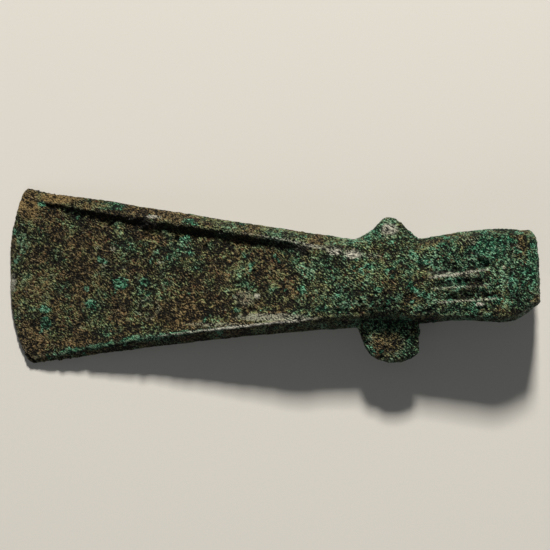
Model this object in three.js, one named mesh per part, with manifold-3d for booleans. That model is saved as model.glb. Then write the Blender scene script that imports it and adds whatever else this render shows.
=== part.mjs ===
// A bronze axe head, cast in one piece: a flared blade with raised side flanges and a sunk panel,
// a rounded neck with a lug on either side, and a short ribbed butt that ends in a square block.
//
// Millimetres. The casting is worked out lying lengthwise along X, from the cutting edge at x = 0
// to the butt, across Y, and through Z on either side of the casting seam at z = 0. It is then
// laid down on its underside, which tips it by the taper of the blade.

import * as THREE from 'three';
import { mergeVertices } from 'three/addons/utils/BufferGeometryUtils.js';
import Module from 'manifold-3d';

// ---- Driving sizes ----

const LENGTH = 180;
const EDGE_HALF = 0.45; // half thickness of the worn cutting edge
const BEVEL = 2; // the edge bevel's width
const BEVEL_HALF = 0.95; // half thickness at the back of the bevel
const BLADE_END = 104; // the straight flanges end here
const BLADE_HALF = 9.5; // half thickness there
const TAPER = (BLADE_HALF - BEVEL_HALF) / (BLADE_END - BEVEL);
const CREST_WIDTH = 1; // flat along the top of each flange

const EDGE_BOW = { top: 5.1, topPower: 3, bottom: 6.8, bottomPower: 2.5 };
const HALF_EDGE = 30; // half the cutting edge
const BOW_REACH = 40; // the edge's bow has faded out this far back
const CORNER_RADIUS = 2.2; // corners of the cutting edge, in plan

const BUTT_SLANT = 0.0625; // the end face leans this much per millimetre across
const BUTT_TIP = -8.5; // the end face's longest point, across
const BUTT_RADIUS = 3; // its upper corner, in plan
const BUTT_ROUND = 1.8; // rounding of the end face's rim, through the thickness

// ---- Curves along the head ----

// A smooth curve through [x, value] stations: cubic pieces, each slope taken from the neighbours.
function curve(...stations) {
  const last = stations.length - 1;
  const slopes = stations.map((station, i) => {
    const [x0, v0] = stations[Math.max(i - 1, 0)];
    const [x1, v1] = stations[Math.min(i + 1, last)];
    return (v1 - v0) / (x1 - x0);
  });
  return (x) => {
    if (x <= stations[0][0]) return stations[0][1];
    if (x >= stations[last][0]) return stations[last][1];
    const i = stations.findIndex((station) => station[0] > x) - 1;
    const [x0, v0] = stations[i];
    const [x1, v1] = stations[i + 1];
    const width = x1 - x0;
    const t = (x - x0) / width;
    const rise = v1 - v0;
    const a = width * slopes[i] - rise;
    const b = rise - width * slopes[i + 1];
    return v0 + t * rise + t * (1 - t) * (a * (1 - t) + b * t);
  };
}

// The seam, which is the outline in plan.
const seamTop = curve([5, 30.7], [14, 28.3], [32, 26.2], [42, 24.4], [82, 18.1], [110, 13.6],
  [120, 12.6], [128, 12.3], [140, 12.8], [153, 15.1], [168, 16.1], [179, 15.6]);
const seamBottom = curve([8, -29.6], [44, -24.6], [86, -19.7], [114, -17.6], [143, -15.5],
  [153, -14.7], [166, -15.4], [173, -13.8], [180, -8.8]);

// How wide each side face is in plan, from the seam in to the flange crest or the shoulder.
const sideTop = curve([6, 1.8], [16, 2.1], [30, 2.9], [96, 2.9], [106, 3.6], [118, 4.8], [130, 4.2],
  [146, 2.4], [178, 1.8]);
const sideBottom = curve([6, 1.6], [45, 3.1], [95, 3.4], [118, 4.6], [130, 3.6], [146, 1.9], [178, 1.5]);

// How wide each flange's inner slope is, from its crest down to the panel.
const slopeTop = curve([12, 0.8], [22, 1.5], [45, 2.7], [90, 2.7], [110, 2.4]);
const slopeBottom = curve([14, 4], [90, 4.4], [110, 2.8]);

// How deep the panel lies below the flanges, how far the shoulder drops below the blade's
// straight taper behind it, and how high the neck and the butt arch over their shoulders.
const panelDepth = curve([8, 0], [20, 1.2], [32, 1.7], [55, 2.1], [80, 2.3], [95, 1.8], [107, 0]);
const shoulderFall = curve([BLADE_END, 0], [112, 1.7], [125, 3], [146, 4.9], [162, 6.4], [180, 8.4]);
const archHeight = curve([102, 0], [112, 1.7], [125, 3.2], [134, 3.2], [146, 2.5], [180, 2]);

// ---- Carving on the butt ----

// Grooves between the ribs, each [x, y] to [x, y]: a slope above its line, steep below it. "slant"
// tips the back end of one and "back" says how sharply it ends.
const GROOVES = [
  { from: [141, 0.6], to: [165, 4.2], above: 6.4, below: 1.4, depth: 2.9, slant: 0.9, back: 7 },
  { from: [141, -3], to: [166, -1.4], above: 2.6, below: 1.3, depth: 0.9, slant: 0, back: 4 },
  { from: [143, -7.6], to: [168, -5.9], above: 2.8, below: 1.3, depth: 1.4, slant: 0, back: 4 },
];
const COLLAR = { x: 170.3, halfWidth: 1.5, depth: 0.5 }; // groove in front of the end block
const UNDERSIDE_CARVING = 0.5; // the hidden face has the same carving, half as deep

const clamp = (value) => Math.min(Math.max(value, 0), 1);
const smooth = (value) => clamp(value) ** 2 * (3 - 2 * clamp(value));

function grooveDepth(groove, x, y) {
  const [x0, y0] = groove.from;
  const [x1, y1] = groove.to;
  const along = (x - x0) / (x1 - x0);
  const off = y - (y0 + (y1 - y0) * along);
  const upperSlope = clamp(1 - off / groove.above) ** 1.3;
  const lowerSlope = smooth(1 + off / groove.below);
  const across = off > 0 ? upperSlope : lowerSlope;
  const behind = (x1 - x - groove.slant * Math.max(off, 0)) / (x1 - x0);
  return groove.depth * across * smooth(along * 3) * smooth(behind * groove.back);
}

function carving(x, y) {
  const collar = COLLAR.depth * smooth(1 - Math.abs(x - COLLAR.x) / COLLAR.halfWidth);
  return GROOVES.reduce((sum, groove) => sum + grooveDepth(groove, x, y), collar);
}

// ---- The section across the head ----

const taperHalf = (x) => BEVEL_HALF + TAPER * (x - BEVEL);

// The section's key lines at x, from the upper seam to the lower one.
function keyLines(x) {
  const crestTop = seamTop(x) - sideTop(x);
  const crestBottom = seamBottom(x) + sideBottom(x);
  return {
    seamTop: seamTop(x),
    crestTop,
    innerTop: crestTop - CREST_WIDTH,
    footTop: crestTop - CREST_WIDTH - slopeTop(x),
    footBottom: crestBottom + CREST_WIDTH + slopeBottom(x),
    innerBottom: crestBottom + CREST_WIDTH,
    crestBottom,
    seamBottom: seamBottom(x),
  };
}

// Half thickness at (x, y), measured from the seam plane.
function halfThickness(x, y, carvingShare) {
  const lines = keyLines(x);
  const shoulder = taperHalf(x) - shoulderFall(x);
  if (y > lines.crestTop) {
    return shoulder * clamp((lines.seamTop - y) / (lines.seamTop - lines.crestTop)) ** 0.8;
  }
  if (y < lines.crestBottom) {
    return shoulder * clamp((y - lines.seamBottom) / (lines.crestBottom - lines.seamBottom)) ** 0.8;
  }
  const middle = (lines.crestTop + lines.crestBottom) / 2;
  const t = (y - middle) / ((lines.crestTop - lines.crestBottom) / 2);
  const dome = 1 - t * t;
  const fromTop = (lines.innerTop - y) / (lines.innerTop - lines.footTop);
  const fromBottom = (y - lines.innerBottom) / (lines.footBottom - lines.innerBottom);
  const tray = smooth(fromTop) * smooth(fromBottom) * (1 + 0.12 * dome);
  const panel = panelDepth(x + 6 * t ** 4) * tray;
  return shoulder - panel + archHeight(x) * dome - carvingShare * dome ** 0.3 * carving(x, y);
}

// How far a corner of the given radius draws in, at a distance from the end it rounds.
function roundIn(distance, radius) {
  return distance < radius ? radius - Math.sqrt(radius ** 2 - (radius - distance) ** 2) : 0;
}

// ---- The body: one ring of points at each station, joined into a closed skin ----

const spread = (stops, counts) => counts.flatMap((count, i) =>
  Array.from({ length: count }, (_, k) => stops[i] + ((stops[i + 1] - stops[i]) * k) / count));

const STATIONS = [...spread([0, 1, 8, 24, 94, 110, 143, 167, 178, LENGTH], [2, 3, 3, 9, 6, 9, 9, 5, 4]),
  LENGTH];
const KEY_STEPS = [2, 1, 2, 17, 2, 1, 2]; // steps between one key line and the next

// One point of the skin, from its station, its key line and the side it is on (1 above, -1 below).
function skinPoint(station, line, side) {
  const lines = Object.values(keyLines(station));
  const fromEnd = LENGTH - station;
  const first = lines[0] - roundIn(station, CORNER_RADIUS) - roundIn(fromEnd, BUTT_RADIUS);
  const last = lines[lines.length - 1] + roundIn(station, CORNER_RADIUS);
  const raw = lines[Math.floor(line)] * (1 - (line % 1)) + (lines[Math.ceil(line)] * (line % 1));
  const share = (raw - lines[lines.length - 1]) / (lines[0] - lines[lines.length - 1]);
  const y = last + (first - last) * share;

  const bow = y > 0
    ? EDGE_BOW.top * (y / HALF_EDGE) ** EDGE_BOW.topPower
    : EDGE_BOW.bottom * (-y / HALF_EDGE) ** EDGE_BOW.bottomPower;
  const lean = BUTT_SLANT * (BUTT_TIP - y) * smooth((station - 150) / 30);
  const x = station + bow * (1 - smooth(station / BOW_REACH)) + lean;

  const bevel = EDGE_HALF + ((BEVEL_HALF - EDGE_HALF) * station) / BEVEL;
  const full = halfThickness(x, raw, side > 0 ? 1 : UNDERSIDE_CARVING);
  const limit = side > 0 ? Infinity : taperHalf(x); // flat where the underside bears
  const thin = 1 - roundIn(fromEnd, BUTT_ROUND) / BLADE_HALF;
  const onSeam = line === 0 || line === lines.length - 1;
  const half = onSeam ? 0 : Math.min(full * thin, limit, station < BEVEL ? bevel : Infinity);
  return [x, y, side * half];
}

function bodyGeometry() {
  const lines = [...spread(KEY_STEPS.map((_, i) => i).concat(KEY_STEPS.length), KEY_STEPS),
    KEY_STEPS.length];
  const above = lines.map((line) => [line, 1]);
  const below = lines.slice(1, -1).reverse().map((line) => [line, -1]);
  const ring = [...above, ...below];
  const positions = STATIONS.flatMap((station) =>
    ring.flatMap(([line, side]) => skinPoint(station, line, side)));

  const triangles = [];
  const count = ring.length;
  const quad = (a, b, c, d) => triangles.push(a, b, c, a, c, d);
  for (let i = 0; i < STATIONS.length - 1; i += 1) {
    for (let j = 0; j < count; j += 1) {
      const next = (j + 1) % count;
      quad(i * count + j, i * count + next, (i + 1) * count + next, (i + 1) * count + j);
    }
  }
  // Both ends close with a strip from the upper face's points to the lower face's.
  const end = (STATIONS.length - 1) * count;
  for (let j = 0; j < above.length - 1; j += 1) {
    const under = (count - j) % count;
    const nextUnder = count - j - 1;
    quad(j, under, nextUnder, j + 1);
    quad(end + j, end + j + 1, end + nextUnder, end + under);
  }
  return geometryFrom(positions, triangles);
}

// ---- The lugs: rounded tabs on the seam, thick at the neck and thinner outwards ----

const LUG_STOP = 139; // the lower lug is flat here, on its butt side
const LUG_RINGS = [0, 0.4, 0.65, 0.82, 0.92, 0.98, 1];
const LUG_POWER = 3.5; // how full a lug is towards its rim
const LUG_POINTS = 34;

const UPPER_LUG = { middle: [128.5, 9], root: 7.4, tip: 2.6, reach: 11.5, stop: Infinity };
const LOWER_LUG = { middle: [129, -14], root: 4.4, tip: 2.8, reach: 15, stop: LUG_STOP };

function upperLugOutline() {
  const outline = new THREE.Shape();
  outline.moveTo(112, 7);
  outline.lineTo(117.5, 12.6);
  outline.bezierCurveTo(121.8, 13.8, 124.2, 16, 126, 18.6);
  outline.bezierCurveTo(127.5, 20.6, 130.5, 20.6, 132, 19.2);
  outline.lineTo(138.8, 12.6);
  outline.lineTo(144, 7);
  return outline;
}

function lowerLugOutline() {
  const outline = new THREE.Shape();
  outline.moveTo(LUG_STOP + 2.5, -9);
  outline.lineTo(LUG_STOP + 2, -22);
  outline.bezierCurveTo(LUG_STOP, -27.2, 134.5, -29.1, 130.5, -29.1);
  outline.bezierCurveTo(125.5, -29.1, 122, -26.5, 120.6, -22.6);
  outline.lineTo(118.8, -18);
  outline.lineTo(114, -9);
  return outline;
}

// Rings shrink from the outline to its middle as the thickness rises like a cushion's.
function lugGeometry(outline, lug) {
  const rim = outline.getSpacedPoints(LUG_POINTS).slice(0, LUG_POINTS);
  const [middleX, middleY] = lug.middle;
  const lugPoint = (point, ring, side) => {
    const y = middleY + (point.y - middleY) * ring;
    const half = lug.root + (lug.tip - lug.root) * smooth(Math.abs(y - middleY) / lug.reach);
    const x = Math.min(middleX + (point.x - middleX) * ring, lug.stop);
    return [x, y, side * half * (1 - ring ** LUG_POWER) ** (1 / LUG_POWER)];
  };
  const inward = LUG_RINGS.slice(1, -1);
  const rings = [
    ...inward.map((ring) => [ring, 1]),
    [1, 0],
    ...inward.toReversed().map((ring) => [ring, -1]),
  ];
  const positions = rings.flatMap(([ring, side]) => rim.flatMap((point) => lugPoint(point, ring, side)));
  positions.push(middleX, middleY, lug.root, middleX, middleY, -lug.root);

  const triangles = [];
  const clockwise = THREE.ShapeUtils.isClockWise(rim);
  const face = (a, b, c) => triangles.push(a, clockwise ? c : b, clockwise ? b : c);
  const lowest = (rings.length - 1) * LUG_POINTS;
  const top = lowest + LUG_POINTS;
  for (let j = 0; j < LUG_POINTS; j += 1) {
    const next = (j + 1) % LUG_POINTS;
    for (let inner = 0; inner < lowest; inner += LUG_POINTS) {
      const outer = inner + LUG_POINTS;
      face(inner + j, outer + j, outer + next);
      face(inner + j, outer + next, inner + next);
    }
    face(top, j, next);
    face(top + 1, lowest + next, lowest + j);
  }
  return geometryFrom(positions, triangles);
}

function geometryFrom(positions, triangles) {
  const geometry = new THREE.BufferGeometry();
  geometry.setAttribute('position', new THREE.Float32BufferAttribute(positions, 3));
  geometry.setIndex(Array.from(triangles));
  return mergeVertices(geometry, 1e-4);
}

// ---- Joining ----

const wasm = await Module();
wasm.setup();

function toSolid(geometry) {
  return new wasm.Manifold(new wasm.Mesh({
    numProp: 3,
    vertProperties: geometry.attributes.position.array,
    triVerts: Uint32Array.from(geometry.index.array),
  }));
}

function toGeometry(solid) {
  const mesh = solid.getMesh();
  return geometryFrom(mesh.vertProperties, mesh.triVerts);
}

const upperLug = toSolid(lugGeometry(upperLugOutline(), UPPER_LUG));
const lowerLug = toSolid(lugGeometry(lowerLugOutline(), LOWER_LUG));
const casting = toSolid(bodyGeometry()).add(upperLug).add(lowerLug);

const bronze = new THREE.MeshStandardMaterial({ color: 0x56604a, roughness: 0.75, metalness: 0.3 });
const axeHead = new THREE.Mesh(toGeometry(casting), bronze);
axeHead.name = 'axe_head';

// Laid down: the underside's flange crests lie level, and the box's bottom centre is the origin.
axeHead.rotation.y = -Math.atan(TAPER);
const box = new THREE.Box3().setFromObject(axeHead, true);
const centre = box.getCenter(new THREE.Vector3());
axeHead.position.set(-centre.x, -centre.y, -box.min.z);

const group = new THREE.Group();
group.add(axeHead);

export default group;
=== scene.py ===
"""A bronze axe head, cast in one piece and long buried, lying loose on a pale floor.

The casting is worked out in millimetres in its own frame: along X from the cutting edge at x = 0 to
the butt, across Y, and through Z on either side of the casting seam. Its smooth form is fused into
one skin, roughened by corrosion, laid down on its underside and brought to metres.
"""

from itertools import product

import bmesh
import bpy
import numpy as np
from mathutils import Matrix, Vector


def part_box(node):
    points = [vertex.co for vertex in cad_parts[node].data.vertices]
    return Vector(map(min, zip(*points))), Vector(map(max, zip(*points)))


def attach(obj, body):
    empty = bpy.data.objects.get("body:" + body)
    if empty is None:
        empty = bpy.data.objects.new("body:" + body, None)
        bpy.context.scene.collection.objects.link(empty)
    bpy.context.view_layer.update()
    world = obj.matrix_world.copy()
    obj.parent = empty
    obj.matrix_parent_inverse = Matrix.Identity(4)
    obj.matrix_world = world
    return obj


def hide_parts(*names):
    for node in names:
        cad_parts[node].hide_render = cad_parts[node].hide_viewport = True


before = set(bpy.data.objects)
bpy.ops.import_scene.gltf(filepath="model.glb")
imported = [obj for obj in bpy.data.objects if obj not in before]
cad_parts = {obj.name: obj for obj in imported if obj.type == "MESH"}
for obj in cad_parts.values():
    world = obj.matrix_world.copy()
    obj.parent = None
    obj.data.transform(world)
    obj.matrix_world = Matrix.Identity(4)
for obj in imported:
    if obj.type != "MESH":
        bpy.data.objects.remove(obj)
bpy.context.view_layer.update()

MM = 0.001

# ---- Sizes of the casting ----

LENGTH = 180
EDGE_HALF = 0.45
BEVEL = 2
BEVEL_HALF = 0.95
BLADE_END = 104
BLADE_HALF = 9.5
TAPER = (BLADE_HALF - BEVEL_HALF) / (BLADE_END - BEVEL)
CREST_WIDTH = 1

EDGE_BOW = {"top": 5.1, "top_power": 3, "bottom": 6.8, "bottom_power": 2.5}
HALF_EDGE = 30
BOW_REACH = 40
CORNER_RADIUS = 2.2

BUTT_SLANT = 0.0625
SLANT_START = 150
BUTT_TIP = -8.5
BUTT_RADIUS = 3
BUTT_ROUND = 1.8

LUG_STOP = 139
LUG_POWER = 3.5
LUG_RINGS = 24
FIRST_RING = 0.04
UPPER_LUG = {"middle": (128.5, 9), "root": 7.4, "tip": 2.6, "reach": 11.5, "stop": LENGTH}
LOWER_LUG = {"middle": (129, -14), "root": 4.4, "tip": 2.8, "reach": 15, "stop": LUG_STOP}

VOXEL = 0.535
MERGE_DISTANCE = 1e-4
FUSING_TURN = (0.37, 0.23, 0.61)  # so that the steps left by the fusing cross every face at a slant
EVENING = (0.55, -0.57)  # shares of the way to the neighbours' mean: in, then back out
STRAY = 0.3
SEED = 4107


# ---- Small curves and steps ----


def clamp(value):
    """The value, held between 0 and 1."""
    return np.clip(value, 0, 1)


def smooth(value):
    """0 below 0, 1 above 1, and an S between: v squared times (3 - 2v)."""
    v = clamp(value)
    return v * v * (3 - 2 * v)


def curve(*stations):
    """A smooth curve through (x, value) stations: cubic pieces, each slope from its neighbours."""
    xs, values = np.array(stations, float).T
    ahead = np.minimum(np.arange(len(xs)) + 1, len(xs) - 1)
    behind = np.maximum(np.arange(len(xs)) - 1, 0)
    slopes = (values[ahead] - values[behind]) / (xs[ahead] - xs[behind])

    def at(x):
        x = np.clip(np.asarray(x, float), xs[0], xs[-1])
        i = np.clip(np.searchsorted(xs, x, side="right") - 1, 0, len(xs) - 2)
        width = xs[i + 1] - xs[i]
        rise = values[i + 1] - values[i]
        t = (x - xs[i]) / width
        a = width * slopes[i] - rise
        b = rise - width * slopes[i + 1]
        return values[i] + t * rise + t * (1 - t) * (a * (1 - t) + b * t)

    return at


def bezier(p0, p1, p2, p3, count):
    """Points of a cubic Bezier from p0 to p3, without its last point."""
    t = np.linspace(0, 1, count, endpoint=False)[:, None]
    s = 1 - t
    corners = (np.array(p, float) for p in (p0, p1, p2, p3))
    weights = (s**3, 3 * s * s * t, 3 * s * t * t, t**3)
    return sum(w * p for w, p in zip(weights, corners))


def straight(p0, p1, count):
    """Points of a straight line from p0 to p1, without its last point."""
    t = np.linspace(0, 1, count, endpoint=False)[:, None]
    return np.array(p0, float) * (1 - t) + np.array(p1, float) * t


seam_top = curve((5, 30.7), (14, 28.3), (32, 26.2), (42, 24.4), (82, 18.1), (110, 13.6),
                 (120, 12.6), (128, 12.3), (140, 12.8), (153, 15.1), (168, 16.1), (179, 15.6))
seam_bottom = curve((8, -29.6), (44, -24.6), (86, -19.7), (114, -17.6), (143, -15.5),
                    (153, -14.7), (166, -15.4), (173, -13.8), (180, -8.8))
side_top = curve((6, 1.8), (16, 2.1), (30, 2.9), (96, 2.9), (106, 3.6), (118, 4.8), (130, 4.2),
                 (146, 2.4), (178, 1.8))
side_bottom = curve((6, 1.6), (45, 3.1), (95, 3.4), (118, 4.6), (130, 3.6), (146, 1.9), (178, 1.5))
slope_top = curve((12, 0.8), (22, 1.5), (45, 2.7), (90, 2.7), (110, 2.4))
slope_bottom = curve((14, 4), (90, 4.4), (110, 2.8))
panel_depth = curve((8, 0), (20, 1.2), (32, 1.7), (55, 2.1), (80, 2.3), (95, 1.8), (107, 0))
shoulder_fall = curve((BLADE_END, 0), (112, 1.7), (125, 3), (146, 4.9), (162, 6.4), (180, 8.4))
arch_height = curve((102, 0), (112, 1.7), (125, 3.2), (134, 3.2), (146, 2.5), (180, 2))

# Grooves between the butt's ribs: "slant" tips the back end of one, "back" says how sharply it ends, and
# "worn" how strong the painted highlight along the rib's edge below it is.
GROOVES = (
    {"from": (141, 0.6), "to": (165, 4.2), "above": 6.4, "below": 1.4,
     "depth": 2.9, "slant": 0.9, "back": 7, "worn": 0.8},
    {"from": (141, -3), "to": (166, -1.4), "above": 2.6, "below": 1.3,
     "depth": 0.9, "slant": 0, "back": 4, "worn": 0.4},
    {"from": (143, -7.6), "to": (168, -5.9), "above": 2.8, "below": 1.3,
     "depth": 1.4, "slant": 0, "back": 4, "worn": 0.5},
)
GROOVE_POWER = 1.3
GROOVE_FRONT = 3
COLLAR = {"x": 170.3, "half_width": 1.5, "depth": 0.5}
UNDERSIDE_CARVING = 0.5


def off_groove(groove, x, y):
    """How far along a groove's line a place is, as a share of its length, and how far above the line."""
    (x0, y0), (x1, y1) = groove["from"], groove["to"]
    along = (x - x0) / (x1 - x0)
    return along, y - (y0 + (y1 - y0) * along)


def carving(x, y):
    """Depth of the butt's grooves: each deepens over a slope on its upper side, to a power of the way
    down, and rises again steeply below its line; the front end of each fades in."""
    depth = COLLAR["depth"] * smooth(1 - np.abs(x - COLLAR["x"]) / COLLAR["half_width"])
    for groove in GROOVES:
        along, off = off_groove(groove, x, y)
        upper_slope = clamp(1 - off / groove["above"]) ** GROOVE_POWER
        lower_slope = smooth(1 + off / groove["below"])
        across = np.where(off > 0, upper_slope, lower_slope)
        end = groove["to"][0]
        behind = (end - x - groove["slant"] * np.maximum(off, 0)) / (end - groove["from"][0])
        cut = groove["depth"] * across * smooth(along * GROOVE_FRONT)
        depth = depth + cut * smooth(behind * groove["back"])
    return depth


# ---- The section across the head ----

SIDE_BULGE = 0.8
PANEL_BOW = 6
PANEL_CROWN = 0.12
CARVING_FADE = 0.3


def taper_half(x):
    """Half thickness of the straight flanges, rising evenly from the edge bevel."""
    return BEVEL_HALF + TAPER * (x - BEVEL)


def key_lines(x):
    """The section's key lines at x, from the upper seam to the lower one."""
    top, bottom = seam_top(x), seam_bottom(x)
    crest_top, crest_bottom = top - side_top(x), bottom + side_bottom(x)
    inner_top, inner_bottom = crest_top - CREST_WIDTH, crest_bottom + CREST_WIDTH
    foot_top, foot_bottom = inner_top - slope_top(x), inner_bottom + slope_bottom(x)
    return np.stack([top, crest_top, inner_top, foot_top, foot_bottom, inner_bottom, crest_bottom, bottom])


def half_thickness(x, y, carving_share):
    """Height over the seam: side faces bulge up to the crests, as a power of the way in, and between
    the crests lies the sunk panel (a tray with sloped sides, a little deeper in its middle and bowed at
    its end) or, on the neck and the butt, a parabolic arch."""
    top, crest_top, inner_top, foot_top, foot_bottom, inner_bottom, crest_bottom, bottom = key_lines(x)
    shoulder = taper_half(x) - shoulder_fall(x)
    upper_side = shoulder * clamp((top - y) / (top - crest_top)) ** SIDE_BULGE
    lower_side = shoulder * clamp((y - bottom) / (crest_bottom - bottom)) ** SIDE_BULGE
    t = np.clip((y - (crest_top + crest_bottom) / 2) / ((crest_top - crest_bottom) / 2), -1, 1)
    dome = 1 - t * t
    tray = smooth((inner_top - y) / (inner_top - foot_top))
    tray = tray * smooth((y - inner_bottom) / (foot_bottom - inner_bottom)) * (1 + PANEL_CROWN * dome)
    between = shoulder - panel_depth(x + PANEL_BOW * t**4) * tray + arch_height(x) * dome
    between = between - carving_share * dome**CARVING_FADE * carving(x, y)
    return np.where(y > crest_top, upper_side, np.where(y < crest_bottom, lower_side, between))


def round_in(distance, radius):
    """How far a corner of this radius draws in, at a distance from the end it rounds."""
    left = np.clip(radius - distance, 0, radius)
    return radius - np.sqrt(radius**2 - left**2)


# ---- Skins ----


def skin_points(station, line, side):
    """Points of the body's skin from a station along it, a place among its key lines and a side."""
    lines = key_lines(station)
    from_end = LENGTH - station
    first = lines[0] - round_in(station, CORNER_RADIUS) - round_in(from_end, BUTT_RADIUS)
    last = lines[-1] + round_in(station, CORNER_RADIUS)
    low = np.clip(np.floor(line).astype(int), 0, len(lines) - 2)
    part = line - low
    columns = np.arange(station.shape[1])[None, :]
    rows = np.arange(station.shape[0])[:, None]
    raw = lines[low, rows, columns] * (1 - part) + lines[low + 1, rows, columns] * part
    y = last + (first - last) * (raw - lines[-1]) / (lines[0] - lines[-1])

    above = EDGE_BOW["top"] * (clamp(y / HALF_EDGE)) ** EDGE_BOW["top_power"]
    below = EDGE_BOW["bottom"] * (clamp(-y / HALF_EDGE)) ** EDGE_BOW["bottom_power"]
    lean = BUTT_SLANT * (BUTT_TIP - y) * smooth((station - SLANT_START) / (LENGTH - SLANT_START))
    x = station + (above + below) * (1 - smooth(station / BOW_REACH)) + lean

    half = half_thickness(x, raw, np.where(side > 0, 1, UNDERSIDE_CARVING))
    half = half * (1 - round_in(from_end, BUTT_ROUND) / BLADE_HALF)
    half = np.where(side > 0, half, np.minimum(half, taper_half(x)))
    bevel = EDGE_HALF + (BEVEL_HALF - EDGE_HALF) * station / BEVEL
    half = np.where(station < BEVEL, np.minimum(half, bevel), half)
    half = np.where((line <= 0) | (line >= len(lines) - 1), 0, half)
    return np.stack([x, y, side * half], axis=-1)


def spread(stops, counts):
    """Evenly spaced values between neighbouring stops, as many to each gap as its count."""
    runs = [np.linspace(a, b, n, endpoint=False) for a, b, n in zip(stops, stops[1:], counts)]
    return np.concatenate(runs + [[stops[-1]]])


# How finely the body is divided: stops along it with the steps between them, and the steps from each
# of the section's key lines to the next.
STATION_STOPS = (0, BEVEL, 24, 110, 178, LENGTH)
STATION_STEPS = (5, 40, 140, 150, 10)
KEY_LINE_STEPS = (16, 3, 7, 70, 7, 3, 16)


def body_skin():
    """The body as rings of points at stations along it, closed by a strip across either end."""
    stations = spread(STATION_STOPS, STATION_STEPS)
    across = spread(range(len(KEY_LINE_STEPS) + 1), KEY_LINE_STEPS)
    line = np.concatenate([across, across[-2:0:-1]])
    side = np.concatenate([np.ones(len(across)), -np.ones(len(across) - 2)])
    grid = np.meshgrid(stations, line, indexing="ij")
    points = skin_points(grid[0], grid[1], np.broadcast_to(side, grid[0].shape))

    count = len(line)
    here = np.arange(len(stations) - 1)[:, None] * count + np.arange(count)
    step = np.roll(here, -1, axis=1)
    quads = np.stack([here, step, step + count, here + count], axis=-1).reshape(-1, 4)
    j = np.arange(len(across) - 1)
    end = (len(stations) - 1) * count
    under, next_under = (count - j) % count, count - j - 1
    front = np.stack([j, under, next_under, j + 1], axis=-1)
    back = np.stack([end + j, end + j + 1, end + next_under, end + under], axis=-1)
    return points.reshape(-1, 3), np.concatenate([quads, front, back])


def upper_lug_outline():
    """Outline of the lug on the upper long side, from its foot in the neck over its round tip and back."""
    return np.concatenate([
        straight((112, 7), (117.5, 12.6), 14),
        bezier((117.5, 12.6), (121.8, 13.8), (124.2, 16), (126, 18.6), 24),
        bezier((126, 18.6), (127.5, 20.6), (130.5, 20.6), (132, 19.2), 16),
        straight((132, 19.2), (138.8, 12.6), 20),
        straight((138.8, 12.6), (144, 7), 14),
        straight((144, 7), (112, 7), 40),
    ])


def lower_lug_outline():
    """Outline of the lug on the lower long side: a straight stop, a round end and a slanted front."""
    return np.concatenate([
        straight((LUG_STOP + 2.5, -9), (LUG_STOP + 2, -22), 24),
        bezier((LUG_STOP + 2, -22), (LUG_STOP, -27.2), (134.5, -29.1), (130.5, -29.1), 26),
        bezier((130.5, -29.1), (125.5, -29.1), (122, -26.5), (120.6, -22.6), 26),
        straight((120.6, -22.6), (118.8, -18), 12),
        straight((118.8, -18), (114, -9), 20),
        straight((114, -9), (LUG_STOP + 2.5, -9), 40),
    ])


def lug_skin(outline, lug):
    """A lug as a cushion on its outline: rings shrink to the middle while the thickness rises as
    (1 - ring to a power) to the inverse power, thick at the neck and thinner outwards."""
    ring = np.sin(np.linspace(FIRST_RING, 1, LUG_RINGS) * np.pi / 2)
    ring = np.concatenate([ring, ring[-2::-1]])[:, None]
    side = np.where(np.arange(len(ring)) < LUG_RINGS, 1, -1)[:, None]
    middle = np.array(lug["middle"], float)
    plan = middle + (outline - middle) * ring[..., None]
    half = lug["root"] + (lug["tip"] - lug["root"]) * smooth(np.abs(plan[..., 1] - middle[1]) / lug["reach"])
    z = side * half * (1 - ring**LUG_POWER) ** (1 / LUG_POWER)
    points = np.stack([np.minimum(plan[..., 0], lug["stop"]), plan[..., 1], z], axis=-1)
    count = len(outline)
    here = np.arange(len(ring) - 1)[:, None] * count + np.arange(count)
    step = np.roll(here, -1, axis=1)
    quads = np.stack([here, here + count, step + count, step], axis=-1).reshape(-1, 4)
    poles = np.array([[*middle, lug["root"]], [*middle, -lug["root"]]])
    first, last = here[0], here[-1] + count
    top, bottom = len(ring) * count, len(ring) * count + 1
    caps = [np.stack([np.full(count, top), first, np.roll(first, -1)], axis=-1),
            np.stack([np.full(count, bottom), np.roll(last, -1), last], axis=-1)]
    return np.concatenate([points.reshape(-1, 3), poles]), quads, np.concatenate(caps)


def mesh_from(name, points, *faces):
    """A closed mesh from points and faces, its doubled points merged and its faces turned outwards."""
    mesh = bpy.data.meshes.new(name)
    mesh.from_pydata(points.tolist(), [], [face for group in faces for face in group.tolist()])
    bm = bmesh.new()
    bm.from_mesh(mesh)
    bmesh.ops.remove_doubles(bm, verts=bm.verts, dist=MERGE_DISTANCE)
    bmesh.ops.recalc_face_normals(bm, faces=bm.faces)
    bm.to_mesh(mesh)
    bm.free()
    return mesh


def fused(*meshes):
    """All the closed skins grown into one, with even small quads, as points and faces."""
    bm = bmesh.new()
    for mesh in meshes:
        bm.from_mesh(mesh)
    joined = bpy.data.meshes.new("joined")
    bm.to_mesh(joined)
    bm.free()
    carrier = bpy.data.objects.new("carrier", joined)
    bpy.context.scene.collection.objects.link(carrier)
    remesh = carrier.modifiers.new("fuse", "REMESH")
    remesh.mode = "VOXEL"
    remesh.voxel_size = VOXEL
    remesh.adaptivity = 0
    graph = bpy.context.evaluated_depsgraph_get()
    mesh = bpy.data.meshes.new_from_object(carrier.evaluated_get(graph))
    bpy.data.objects.remove(carrier)
    points = np.empty(len(mesh.vertices) * 3)
    mesh.vertices.foreach_get("co", points)
    corners = np.empty(len(mesh.loops), int)
    mesh.loops.foreach_get("vertex_index", corners)
    assert len(corners) == 4 * len(mesh.polygons)
    return points.reshape(-1, 3), corners.reshape(-1, 4)


# ---- Noise ----


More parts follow.
